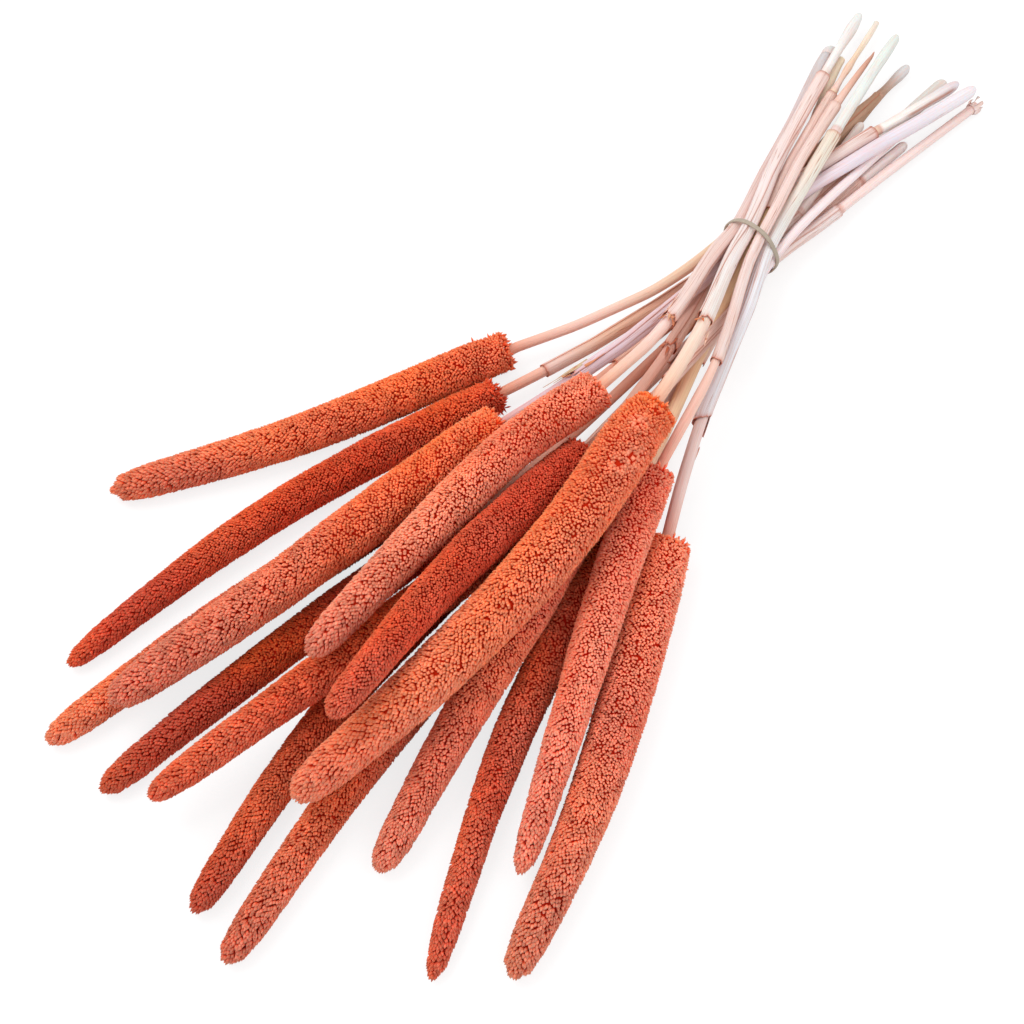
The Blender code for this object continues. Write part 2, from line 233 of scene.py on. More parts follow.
def makeStudio():
    makeCamera()
    softBox("keyLight", (-0.25, 0.75, 1.35), 0.9, 9)
    softBox("fillLight", (0.5, -1.0, 1.3), 1.2, 4)
    world = bpy.data.worlds.new("paleRoom")
    bpy.context.scene.world = world
    world.use_nodes = True
    tree = world.node_tree
    room = tree.nodes["Background"]
    room.inputs["Color"].default_value = (1, 1, 1, 1)
    ray = addNode(tree, "ShaderNodeLightPath")
    seen = addNode(tree, "ShaderNodeMath", {0: ray.outputs["Is Camera Ray"], 1: ray.outputs["Is Glossy Ray"]},
                   operation="MAXIMUM")
    strength = addNode(tree, "ShaderNodeMapRange", {"Value": seen.outputs[0], "To Min": 0.85, "To Max": 1.0})
    tree.links.new(strength.outputs[0], room.inputs["Strength"])

    reach = 6.0
    corners = [(-reach, -reach, 0), (reach, -reach, 0), (reach, reach, 0), (-reach, reach, 0)]
    floor = makeMesh("floor", np.array(corners), [np.array([[0, 1, 2, 3]])])
    # the camera sees the paper's shade at a quarter of its depth; the object is lit by plain white paper
    paper, tree, shader = newMaterial("whitePaper", 0.9)
    shader.inputs["Emission Color"].default_value = (1, 1, 1, 1)
    ray = addNode(tree, "ShaderNodeLightPath")
    colour = addNode(tree, "ShaderNodeMix", {0: ray.outputs["Is Camera Ray"], 6: (0.8, 0.8, 0.8, 1),
                                             7: (0.25, 0.25, 0.25, 1)}, data_type="RGBA")
    tree.links.new(colour.outputs[2], shader.inputs["Base Color"])
    glow = addNode(tree, "ShaderNodeMath", {0: ray.outputs["Is Camera Ray"], 1: 0.77}, operation="MULTIPLY")
    tree.links.new(glow.outputs[0], shader.inputs["Emission Strength"])
    floor.data.materials.append(paper)


# cell is the area that a grain takes, depth how far under the tips the core lies, and widest where along a
# grain it is thickest; lengths are in millimetres, and a lean is how far it goes forward for one outwards
grain = {
    "cell": 2.45, "length": 4.7, "width": 1.88, "depth": 2.6, "sides": 4, "widest": 0.74, "clump": 0.3,
    "growth": 0.3, "leanAtBase": 0.3, "leanAtTip": 1.15, "leanSpread": 0.12, "turnSpread": 0.14,
    "sizeSpread": 0.09, "lengthSpread": 0.1, "jitter": 0.2, "floorGap": 0.15,
}
headShape = {"shoulder": 1.5, "nose": 7, "flareLength": 14, "flare": 0.2, "baseWidth": 0.35}
headCore = {"rings": 40, "sides": 14, "thinnest": 0.28}
# how much wider a head flares at its base, where most do by the flare above
flares = {9: 0.42}
# how many millimetres of a head are ragged at its base, where most have 7
raggedLength = {1: 9, 2: 9, 9: 20, 14: 10}
# which share of the grains at a base stick out, where most have 0.09
strays = {1: 0.2, 2: 0.25, 3: 0.2, 9: 0.12}
# how much darker a tip is than its base, where most are by 0.12
darkTips = {1: 0.2, 9: 0.05, 15: 0.55}

# what sets one head apart: how pale its dust, how orange its dye, how light it is, and how coarse its grains
headLooks = {
    1: (0.25, 0.75, 0.5, 1.0), 2: (0.05, 0.5, 0.32, 0.9), 3: (0.35, 0.55, 0.5, 1.0),
    4: (0.3, 0.5, 0.4, 0.95), 5: (0.85, 0.65, 0.62, 1.0), 6: (0.0, 0.3, 0.12, 0.9),
    7: (0.15, 0.55, 0.4, 0.95), 8: (0.1, 0.2, 0.3, 0.82), 9: (0.45, 0.85, 0.52, 1.05),
    10: (0.1, 0.6, 0.22, 0.9), 11: (0.25, 0.35, 0.28, 0.95), 12: (0.4, 0.2, 0.5, 0.9),
    13: (0.2, 0.35, 0.34, 0.95), 14: (0.9, 0.2, 0.78, 1.0), 15: (0.8, 0.45, 0.7, 1.0),
}
# where the thickest head has been knocked: millimetres from its base, degrees round it, size, push and depth
knocks = {9: ((43, 52, 4.6, 2.8, 1.2), (38, 38, 3.0, 2.0, 0.7), (51, 70, 3.8, 2.1, 0.9),
              (24, 84, 4.0, 1.6, 0.3))}


def grainTemplate():
    # one grain: a point in the core, a ring where it is widest and its outer tip
    sides = grain["sides"]
    k = np.arange(sides)
    share = np.array([0.0] + [grain["widest"]] * sides + [1.0])
    wide = np.array([0.0] + [1.0] * sides + [0.0])
    angle = 2 * np.pi / sides * np.concatenate(([0], k, [0]))
    after = (k + 1) % sides
    faces = (np.stack((0 * k, 1 + after, 1 + k), -1), np.stack((1 + k, 1 + after, 0 * k + sides + 1), -1))
    # on the map a grain's sides unroll left to right, with its inner point below and its tip above
    u = k / sides
    cell = lambda *points: np.stack([np.stack((x, y + 0 * x), -1) for x, y in points], 1)
    uvs = (cell((u + 0.5 / sides, 0.0), (u + 1 / sides, grain["widest"]), (u, grain["widest"])),
           cell((u, grain["widest"]), (u + 1 / sides, grain["widest"]), (u + 0.5 / sides, 1.0)))
    return (share, wide, angle), faces, uvs


def headProfile(line, flare):
    # The CAD solid's own radius from the base to the tip, times 1 + flare (1 - s / flareLength)^2. Both ends
    # are rounded as sqrt(1 - (1 - s / r)^2), where r is the shoulder's or the nose's length.
    s = np.linspace(0, line["length"], 1200)
    radius = np.interp(s, line["at"], line["radius"])
    radius = radius * (1 + flare * np.clip(1 - s / (headShape["flareLength"] * mm), 0, 1) ** 2)
    shoulder = headShape["shoulder"] * mm
    nose = headShape["nose"] * mm
    base = np.sqrt(np.clip(1 - np.clip(1 - s / shoulder, 0, 1) ** 2, 0, 1))
    tip = np.sqrt(np.clip(1 - np.clip(1 - (line["length"] - s) / nose, 0, 1) ** 2, 0, 1))
    baseWidth = headShape["baseWidth"]
    return s, radius * (baseWidth + (1 - baseWidth) * base) * tip


def makeHead(number):
    # Grain k stands at the golden angle times k round the head, and at the length where the head's own area
    # from its base has grown by k cells, so that the grains are evenly spread and never stand in rows.
    dust, warmth, light, coarse = headLooks[number]
    rng = np.random.default_rng(100 + number)
    line = readLine(f"head_{number:02d}", headFirst=True)
    s, radius = headProfile(line, flares.get(number, headShape["flare"]))
    slope = np.hypot(np.gradient(s), np.gradient(radius))
    # grains grow larger from the middle of the head to its tip, so each takes more of the area there
    growth = 1 + grain["growth"] * smoothStep(0.5, 1.0, s / line["length"])
    middleRadius = 0.5 * (radius[1:] + radius[:-1])
    area = np.concatenate(([0], np.cumsum(2 * np.pi * middleRadius * slope[1:] / growth[1:] ** 2)))
    count = int(area[-1] / (grain["cell"] * coarse ** 2 * mm * mm))
    k = np.arange(count) + 0.5
    place = np.interp(k / count * area[-1], area, s)
    pitch = math.sqrt(grain["cell"]) * coarse * mm
    margin = 0.2 * mm
    place = np.clip(place + rng.normal(0, grain["jitter"], count) * pitch, margin, line["length"] - margin)
    r = np.interp(place, s, radius)
    phi = k * goldenAngle + rng.normal(0, grain["jitter"], count) * pitch / np.maximum(r, 3 * mm)
    field = (place, r * np.cos(phi), r * np.sin(phi))
    lump, broad = ripple(number, 34 * mm, *field), ripple(number + 20, 60 * mm, *field)
    clumpA, clumpB = ripple(number + 40, 8 * mm, *field), ripple(number + 80, 8 * mm, *field)
    centre, forward, side, up = along(line, place)
    radial = np.cos(phi)[:, None] * side + np.sin(phi)[:, None] * up
    around = -np.sin(phi)[:, None] * side + np.cos(phi)[:, None] * up

    # which way the surface faces, and from that which way a grain points: outwards, and leaning to the tip
    rise = np.interp(place, s, np.gradient(radius, s))
    normal = unit(radial - np.clip(rise, -3, 3)[:, None] * forward)
    toTip = place / line["length"]
    ragged = np.exp(-place / (raggedLength.get(number, 7) * mm))
    stray = rng.random(count) < strays.get(number, 0.09) * np.exp(-place / (6 * mm))
    lean = grain["leanAtBase"] + (grain["leanAtTip"] - grain["leanAtBase"]) * toTip ** 1.6
    lean = lean + 0.2 * clumpA + rng.normal(0, grain["leanSpread"], count) - 0.6 * ragged
    turn = 0.24 * clumpB + rng.normal(0, grain["turnSpread"], count) + 0.3 * ragged * rng.normal(0, 1, count)
    direction = unit(normal + lean[:, None] * forward + turn[:, None] * around)

    uneven = 1 + rng.normal(0, grain["sizeSpread"], count) + 0.1 * ragged
    size = coarse * np.interp(place, s, growth) * uneven
    longer = 1 + rng.normal(0, grain["lengthSpread"], count) + 0.25 * ragged * rng.random(count)
    length = grain["length"] * mm * size * longer
    half = 0.5 * grain["width"] * mm * size * np.where(stray, 0.8, 1)
    reach = 1 - 0.02 * (1 - lump) - np.abs(rng.normal(0, 0.025, count)) - 0.1 * ragged * rng.random(count)
    tip = centre + (r * reach)[:, None] * radial
    root = tip - length[:, None] * direction
    # neighbouring tips cling together in clumps, and a few at the base stick out
    sway = [ripple(number + seed, 5 * mm, *field) * grain["clump"] * mm for seed in (120, 160)]
    tip = tip + sway[0][:, None] * around + sway[1][:, None] * forward
    tip = tip + (stray * rng.uniform(0.6, 2.2, count) * mm)[:, None] * (normal - 0.8 * forward)
    parted = np.zeros(count)
    for at, degrees, spread, push, depth in knocks.get(number, ()):
        # tips are parted from the middle of a knock and pressed in, both by exp(-(d / spread)^2)
        aside = (np.mod(phi - math.radians(degrees) + np.pi, 2 * np.pi) - np.pi) * r / mm
        ahead = place / mm - at
        far = np.hypot(aside, ahead)
        pressed = np.exp(-(far / spread) ** 2) * mm
        away = (aside[:, None] * around + ahead[:, None] * forward) / (far[:, None] + 0.2)
        tip = tip + (push * pressed)[:, None] * away - (depth * pressed)[:, None] * radial
        parted = np.maximum(parted, pressed / mm)
    half = half * (1 + 0.6 * parted)
    tip = tip + (parted * rng.uniform(-0.6, 0.9, count) * mm)[:, None] * radial
    spine = tip - root
    length = np.linalg.norm(spine, axis=1)
    direction = spine / length[:, None]
    across = unit(np.cross(direction, forward + 1e-3 * up))
    other = np.cross(direction, across)

    (share, wide, angle), faces, uvs = grainTemplate()
    roll = rng.uniform(0, 2 * np.pi, count)[:, None] + angle
    flat = (1 - np.abs(rng.normal(0, 0.12, count)))[:, None]
    body = tip[:, None] - ((1 - share) * length[:, None])[..., None] * direction[:, None]
    body = body + (half[:, None] * wide * np.cos(roll))[..., None] * across[:, None]
    body = body + (half[:, None] * wide * flat * np.sin(roll))[..., None] * other[:, None]
    body = body + (0.14 * length[:, None] * share ** 2)[..., None] * forward[:, None]
    body[..., 2] = np.maximum(body[..., 2], grain["floorGap"] * mm)
    corners = body.reshape(-1, 3)
    perGrain = len(share)

    tone = np.empty((count, perGrain, 4))
    chance = rng.normal(0, 0.15, count) + 0.1 * clumpA + 0.09 * broad
    # painted shade: grains on a head's lower flanks, facing the floor, lose most of their pale dust and show
    # the deeper, darker dye
    low = smoothStep(0.15, -0.6, normal[:, 2])
    # painted light: one side of each head is made more orange and less pale, as if lit, and the other side
    # paler and pinker
    paintedLitSide = -np.cos(phi)
    tone[..., 0] = np.clip(light - darkTips.get(number, 0.12) * toTip ** 2 + chance, 0, 1)[:, None]
    tone[..., 1] = share * (0.82 + 0.18 * smoothStep(0, 0.4, np.array(dust)))
    pale = dust + 0.2 * lump + 0.5 * smoothStep(0.4, 1.0, toTip) - 0.1 - 0.12 * paintedLitSide
    tone[..., 2] = np.clip(pale * (1 - 0.9 * low) + 0.3 * stray + 0.4 * parted, 0, 1)[:, None]
    warm = warmth + 0.25 * broad - 0.2 * smoothStep(0.6, 1.0, toTip) + 0.2 * paintedLitSide
    tone[..., 3] = np.clip(warm, 0, 1)[:, None]

    # on the map every grain has a cell of its own, in a square of cells that fills the lower part
    columns = int(math.ceil(math.sqrt(count)))
    rowsUsed = int(math.ceil(count / columns))
    filled, used, gap = 0.94, 0.84, 0.08
    cell = np.stack((np.arange(count) % columns, np.arange(count) // columns), -1) / (columns, rowsUsed)
    scale = np.array((used / columns, filled * used / rowsUsed))
    start = cell * (1, filled) + np.array((gap / columns, filled * gap / rowsUsed))
    groups = [(face[None] + perGrain * np.arange(count)[:, None, None]).reshape(-1, face.shape[1])
              for face in faces]
    groupUvs = [(start[:, None, None] + uv[None] * scale).reshape(-1, uv.shape[1], 2) for uv in uvs]

    # the deep red core that the grains grow out of; it takes the ramp's darkest tone, painted shade at the
    # bottom of the gaps
    rows, columns = headCore["rings"], headCore["sides"]
    t = np.linspace(0, line["length"], rows)
    whole = np.interp(t, s, radius)
    inner = np.maximum(whole - grain["depth"] * mm, headCore["thinnest"] * whole)
    inner[[0, -1]] = 0.05 * mm
    t = np.clip(t, 2.5 * mm, line["length"] - 3 * mm)
    turn = 2 * np.pi * np.arange(columns) / columns
    c, _, sideways, upwards = along(line, t)
    ring = (c[:, None] + (inner[:, None] * np.cos(turn))[..., None] * sideways[:, None]
            + (inner[:, None] * np.sin(turn))[..., None] * upwards[:, None])
    core = ring.reshape(-1, 3)
    first = len(corners)
    coreTone = np.zeros((len(core), 4))
    coreTone[:, 3] = warmth
    ends = np.stack((first + np.arange(columns)[::-1], first + (rows - 1) * columns + np.arange(columns)))
    groups += [gridFaces(rows, columns, first)[:, ::-1], ends]
    groupUvs += [gridUvs(rows, columns, (0.01, 0.95, 0.9, 0.99))[:, ::-1],
                 np.tile(np.stack((0.95 + 0.02 * np.cos(turn), 0.97 + 0.02 * np.sin(turn)), -1), (2, 1, 1))]
    piece = makeMesh(f"seedHead{number:02d}", np.vstack((corners, core)), groups,
                     {"tone": np.vstack((tone.reshape(-1, 4), coreTone))}, groupUvs)
    finishPiece(piece, f"head_{number:02d}", dyedMillet)
    return count


def makeDyedMillet():
    # Dry millet florets soaked in an aniline dye: matt, rough as felt, palest where a grain's rounded end has
    # rubbed dry, and deep red in the gaps: partly where the dye pooled, partly painted shade towards each
    # grain's root. Tone holds chance, depth, dust and warmth; the dust also holds painted shade on the lower
    # flanks of a head, and the dust and warmth hold painted light on one side of it.
    material, tree, shader = newMaterial("dyedMillet", 0.85, IOR=1.45, Specular_IOR_Level=0.15,
                                         Sheen_Weight=0.05, Sheen_Roughness=0.5, Subsurface_Weight=0.25,
                                         Subsurface_Scale=0.0012)
    shader.inputs["Subsurface Radius"].default_value = (1.0, 0.3, 0.15)
    shader.inputs["Sheen Tint"].default_value = (*linear("F3B9A6"), 1)
    tone = addNode(tree, "ShaderNodeAttribute", attribute_name="tone")
    split = addNode(tree, "ShaderNodeSeparateColor", {"Color": tone.outputs["Color"]})
    dye = []
    # each ramp runs from a grain's root to its tip: the dye's colours, darker towards the root as painted
    # shade in the gaps
    for stops in (((0.15, "E62206"), (0.5, "EE4224"), (0.75, "F26446"), (1.0, "F68868")),
                  ((0.15, "EC3202"), (0.5, "F25018"), (0.75, "F87438"), (1.0, "FC905A"))):
        depth = addNode(tree, "ShaderNodeValToRGB", {"Fac": split.outputs["Green"]})
        ramp = depth.color_ramp
        for position, _ in stops[1:-1]:
            ramp.elements.new(position)
        for element, (position, text) in zip(ramp.elements, stops):
            element.position, element.color = position, (*linear(text), 1)
        dye.append(depth.outputs["Color"])
    dyed = addNode(tree, "ShaderNodeMix", {0: tone.outputs["Alpha"], 6: dye[0], 7: dye[1]}, data_type="RGBA")
    # dust lies on the outer half of a grain only
    outer = addNode(tree, "ShaderNodeMapRange", {"Value": split.outputs["Green"], "From Min": 0.55,
                                                 "From Max": 1.0, "To Min": 0.0, "To Max": 0.9})
    share = addNode(tree, "ShaderNodeMath", {0: outer.outputs[0], 1: split.outputs["Blue"]},
                    operation="MULTIPLY")
    dusty = addNode(tree, "ShaderNodeMix", {0: share.outputs[0], 6: dyed.outputs[2],
                                            7: (*linear("F8A68C"), 1)}, data_type="RGBA")
    shade = addNode(tree, "ShaderNodeMapRange", {"Value": split.outputs["Red"], "To Min": 0.62,
                                                 "To Max": 1.34})
    final = addNode(tree, "ShaderNodeVectorMath", {0: dusty.outputs[2], "Scale": shade.outputs[0]},
                    operation="SCALE")
    tree.links.new(final.outputs[0], shader.inputs["Base Color"])
    return material


# Along a stem: its bare stalk from the head to the leaf sheath, its butt from the node to the cut end, and
# its sheath from the open mouth to the node. Shapes are shares of the length with the thickness there; the
# seam is where round the stem the sheath's outer margin runs, in degrees from +Y over the top.
stems = {
    1: {"bare": "E8B4A0 F2CEC0 E8C8AC E2C2A2", "butt": "F6F6F0 F0EEEA DCD5DC",
        "leaf": "F4DCD6 F6E0DA F6D6CE",
        "buttShape": ((0, 0.86), (0.5, 0.95), (0.85, 1.12), (1, 0.85)), "end": "round", "seam": 60,
        "collar": 1.5, "groove": 150},
    # stems 2, 4, 6, 7, 10, 11 and 12 lie lowest in the bunch, and their colours are made more orange: partly
    # their own dye, partly painted warm shade
    2: {"bare": "E6A48C F0BEAA", "butt": "F4ECE8", "leaf": "F4CEC4 EAB69C E4AE94 EEC6B6", "end": "round",
        "seam": 70, "tear": 0.6, "gape": 0},
    3: {"bare": "E2BCC0 DFC0C8", "butt": "EADCE4 E6DEE8 EEEAEE", "leaf": "E6C9D2 E8CCD2 F0D8D6",
        "buttShape": ((0, 1), (0.5, 1.05), (0.9, 0.95), (1, 0.8)), "end": "round", "seam": 95, "tear": 5},
    4: {"bare": "E8A890", "butt": "E2E0DA D8D6D0", "leaf": "EEB8A4 F2C4B4 F2CCC0",
        "buttShape": ((0, 0.9), (0.6, 1.3), (1, 1.2)), "end": "round", "seam": 120, "tear": 4},
    5: {"bare": "F0BFA2 F2CDBC F0D3CB", "butt": "D6D6D4 DADBDA D2D6D4",
        "leaf": "F4D6CE F0D0C8 E6C6C0 DCC2C0 D2CCCC",
        "leafShape": ((0, 1), (0.75, 1), (0.95, 1.12), (1, 1.04)),
        "buttShape": ((0, 1.18), (0.5, 1.22), (1, 1)),
        "end": "round", "seam": 172, "tear": 5, "collar": 0},
    6: {"bare": "E8A890", "butt": "FCF0EE", "leaf": "F2C2AE F6D2C8", "end": "round", "seam": 60, "tear": 4},
    7: {"bare": "EEBAA4", "butt": "F6E8EA", "leaf": "F4C8B8 F4D4CA", "end": "round", "seam": 140, "tear": 4},
    8: {"bare": "F0B69E EEBCAA", "butt": "AE8C74 C4B0A4 DCDADA D8DADA",
        "leaf": "F0BEAC F0C8BA ECC4B4 DEBAA6 C8A48A BC967A",
        "leafShape": ((0, 1), (0.72, 1), (0.85, 1.32), (1, 0.66)),
        "buttShape": ((0, 0.72), (0.3, 0.68), (0.7, 0.86), (1, 0.72)), "end": "round", "seam": 100, "tear": 5,
        "collar": 0},
    9: {"bare": "F0B99C F2D2BC F0DCCC", "butt": "F4F4F2 ECEEEC E4E8E4",
        "leaf": "F4E6DE F4E8E4 F6E2DE FAE0DA F8DAD2", "end": "round", "seam": 38, "twist": 130, "tear": 3,
        "slant": 7, "collar": 1.3, "buttShape": ((0, 0.78), (0.35, 0.84), (0.72, 1.12), (1, 0.8))},
    10: {"bare": "DDB4A4", "butt": "F6E0DC F6E2DE F2D6D0", "leaf": "F4D0C4 F6E0DC", "end": "frayed",
         "seam": 110, "tear": 4},
    11: {"bare": "E6C4B8", "butt": "FAEEE8", "leaf": "F4CABA F6DCD4", "end": "round", "seam": 80, "tear": 4},
    12: {"bare": "DEA684 E6B898 E8C4AA", "butt": "FAF0DA F6E8CE", "leaf": None, "end": "cut"},
    13: {"bare": "F6D0B2 FAD8B0 F8D4A8 F8DAB0", "butt": "F6DCD4 F2D2BC F2DABC F6ECD8 E8E4DA",
         "leaf": "F8DACE F8D8CE F6D2C4", "end": "hollow", "seam": 165, "tear": 2,
         "bareShape": ((0, 1), (0.3, 1.25), (0.62, 1.5), (0.88, 1.1), (1, 1)),
         "buttShape": ((0, 0.95), (0.18, 0.72), (0.34, 1.0), (0.5, 0.74), (0.8, 0.86), (1, 0.8))},
    14: {"bare": "F2B09C F2C4B4 F0CDBE", "butt": "F2CCBE E2B29C C8907A",
         "leaf": "F0D4CC F6DCD6 F8D8D0 F6D0C4",
         "bareShape": ((0, 1), (0.7, 1), (1, 0.8)), "leafShape": ((0, 0.8), (0.8, 0.82), (1, 0.9)),
         "buttShape": ((0, 1), (0.5, 0.82), (1, 0.5)), "collar": 0.4, "end": "pointed", "seam": 175,
         "tear": 1},
    15: {"bare": "E2B8AC EBD0CA EBD3CE", "butt": "E9EFEB E6EEEA DDE6E0",
         "leaf": "F0E4E6 F2ECF0 F2F0F4 F4ECE0 F2E4D0", "end": "round", "seam": 188, "tear": 2, "slant": 12,
         "buttShape": ((0, 0.95), (0.6, 0.95), (0.82, 1.05), (1, 0.85))},
}
# steps, walls, the split, the collar's rise, the flare and the ruffle are in millimetres, the lap and the
# wander in radians
stalk = {"sides": 26, "step": 2.5, "intoHead": 7.0, "ridges": 7, "ridge": 0.018, "uneven": 0.03,
         "nodeSwell": 0.08}
sheath = {"sides": 42, "step": 2.2, "wall": 0.26, "lap": 0.6, "split": 20.0, "wander": 0.25,
          "collarRise": 0.3, "crumple": 0.03, "flare": 0.3, "ruffle": 0.25}
shred = {"rings": 9, "thickness": 0.12}
floorGap = 0.1 * mm

# Strips torn from a sheath's mouth or a frayed end: the stem, millimetres from there (negative towards the
# head), degrees round the stem, length (negative if it points to the head), width, lift, drift and colour.
shreds = (
    (3, 17, 40, -33, 1.5, 3.2, 16, "CDB08C"), (3, 12, 60, -22, 1.2, 2.4, 10, "D8BC98"),
    (3, -1, 112, -5, 2.0, 1.4, 20, "DE7E50"), (3, 2, 78, -5, 1.8, 1.6, -20, "DC8450"),
    (3, 12, 90, 14, 1.8, 0.6, 4, "E08C5E"), (5, 1, 62, -5, 2.6, 1.8, -20, "E0946A"),
    (5, 2, 110, -5, 2.4, 1.6, 15, "D98862"), (5, 6, 45, 11, 1.6, 1.8, 20, "E8B4A0"),
    (5, 0, 140, -4, 1.8, 1.2, 10, "CC7A54"), (5, 2, 86, -6, 1.6, 1.2, 20, "E6A680"),
    (8, -1, 95, -7, 1.6, 1.2, 20, "CC6E4A"), (8, 2, 62, -6, 1.6, 1.2, -20, "D8825E"),
    (8, 0, 122, -9, 1.4, 1.0, 10, "E8B09C"), (8, 7, 108, -8, 1.4, 1.4, -12, "D4724E"),
    (9, 2, 62, -4, 2.4, 1.8, -20, "DC8456"), (9, 1, 80, -3, 1.6, 1.0, 16, "D8743F"),
    (9, -3, 176, -10, 2.0, 1.0, 8, "F0CDB8"), (1, 0, 70, -4, 1.2, 1.0, 20, "D98458"),
    (4, 1, 90, -5, 1.6, 1.4, 20, "D07A54"), (7, 0, 100, -4, 1.3, 1.0, -20, "D98A66"),
    (11, 1, 80, -4, 1.3, 1.0, 20, "D98A66"), (15, -6, 186, -8, 1.1, 0.5, 4, "D9A090"),
)
# the fibres of the frayed end: degrees round it, drift and colour
frays = tuple((10, -6, angle, 6 + angle % 4, 3.2, 0.5, drift, text) for angle, drift, text in (
    (20, 5, "F8E2DC"), (75, -6, "FAE8E4"), (130, 5, "F6DCD6"), (185, 6, "FAE8E6"),
    (240, -5, "F2D2CA"), (300, 6, "F6E0DA")))


def colourAlong(text, share):
    # colours evenly spaced along a stem, mixed between one and the next
    stops = np.array([linear(name) for name in text.split()])
    at = np.linspace(0, 1, len(stops))
    return np.stack([np.interp(share, at, stops[:, k]) for k in range(3)], -1)


def eased(share, stops):
    # a thickness that goes from stop to stop by smooth steps
    at, value = np.array(stops, float).T
    k = np.clip(np.searchsorted(at, share) - 1, 0, len(at) - 2)
    t = smoothStep(0, 1, (share - at[k]) / (at[k + 1] - at[k]))
    return value[k] * (1 - t) + value[k + 1] * t


def makeShred(line, mouth, values, slot, taper):
    # A flat strip of four-cornered rings: it leaves the stem at a place, runs along it by t times its length,
    # drifts round it by t times the drift, lifts off by lift t^2, and narrows by (1 - taper t^2).
    at, angle, length, width, lift, drift, text = values
    rings, sides = shred["rings"], 4
    t = np.linspace(0, 1, rings)
    s = mouth + (at + length * t) * mm
    turn = np.radians(angle + drift * t)
    centre, direction, side, up = along(line, s)
    radius = np.interp(s, line["at"], line["radius"]) + (0.35 + lift * t ** 2) * mm
    ray = np.cos(turn)[:, None] * side + np.sin(turn)[:, None] * up
    crossways = unit(np.cross(direction, ray))
    middle = centre + radius[:, None] * ray
    half = 0.5 * width * mm * (1 - taper * t ** 2)
    curl = (0.5 + 0.9 * t)[:, None] * np.sin(3.0 * t + at)[:, None]
    flat = np.cos(curl) * crossways + np.sin(curl) * ray
    thick = shred["thickness"] * mm * np.cross(direction, flat)
    left, right = middle + half[:, None] * flat, middle - half[:, None] * flat
    ring = np.stack((left + thick, right + thick, right - thick, left - thick), 1)
    corners = ring.reshape(-1, 3)
    corners[:, 2] = np.maximum(corners[:, 2], floorGap)
    colour = linear(text) * (1 - 0.2 * t[:, None] * np.array((0.3, 0.8, 1.0)))
    lie = np.stack((np.cos(turn), np.sin(turn), s / mm * 0.05 + 3 * slot), -1)
    ends = np.stack((np.arange(sides)[::-1], (rings - 1) * sides + np.arange(sides)))
    faces = [gridFaces(rings, sides), ends]
    # the strips lie in two rows along the bottom of the map, each with a tab for its ends
    low = 0.012 + 0.045 * (slot % 2)
    start = 0.01 + 0.16 * (slot // 2)
    tab = np.array(((0, 0), (0.01, 0), (0.01, 0.01), (0, 0.01))) + (start, low)
    uvs = [gridUvs(rings, sides, (start + 0.02, low, start + 0.15, low + 0.04)), np.tile(tab, (2, 1, 1))]
    return corners, faces, np.repeat(colour, sides, 0), np.repeat(lie, sides, 0), uvs


def addShreds(parts, line, mouth, table, taper):
    # joins the strips to a stem's corners, face groups, colours, lie and map
    corners, groups, colour, lie, uvs = parts
    for slot, values in enumerate(table):
        more, faces, tint, strip, flat = makeShred(line, mouth, values[1:], slot, taper)
        groups = groups + [face + len(corners) for face in faces]
        corners, colour = np.vstack((corners, more)), np.vstack((colour, tint))
        lie, uvs = np.vstack((lie, strip)), uvs + flat
    return corners, groups, colour, lie, uvs


def endRings(kind):
    # how far the last six rings stand past the end, in radii of it, and how wide they are
    t = np.linspace(0, 0.5 * np.pi, 7)[1:]
    return {"round": (1.5 * np.sin(t), np.cos(t)), "pointed": (5 * np.sin(t), np.cos(t)),
            "frayed": (0.6 * np.sin(t), np.cos(t)),
            "cut": (np.array((0.05, 0.08, 0.08, 0.07, 0.06, 0.05)), np.array((0.97, 0.9, 0.7, 0.5, 0.25, 0))),
            "hollow": (np.array((0.1, 0.08, -0.5, -1.4, -2.0, -2.1)),
                       np.array((0.95, 0.66, 0.6, 0.55, 0.4, 0)))}[kind]


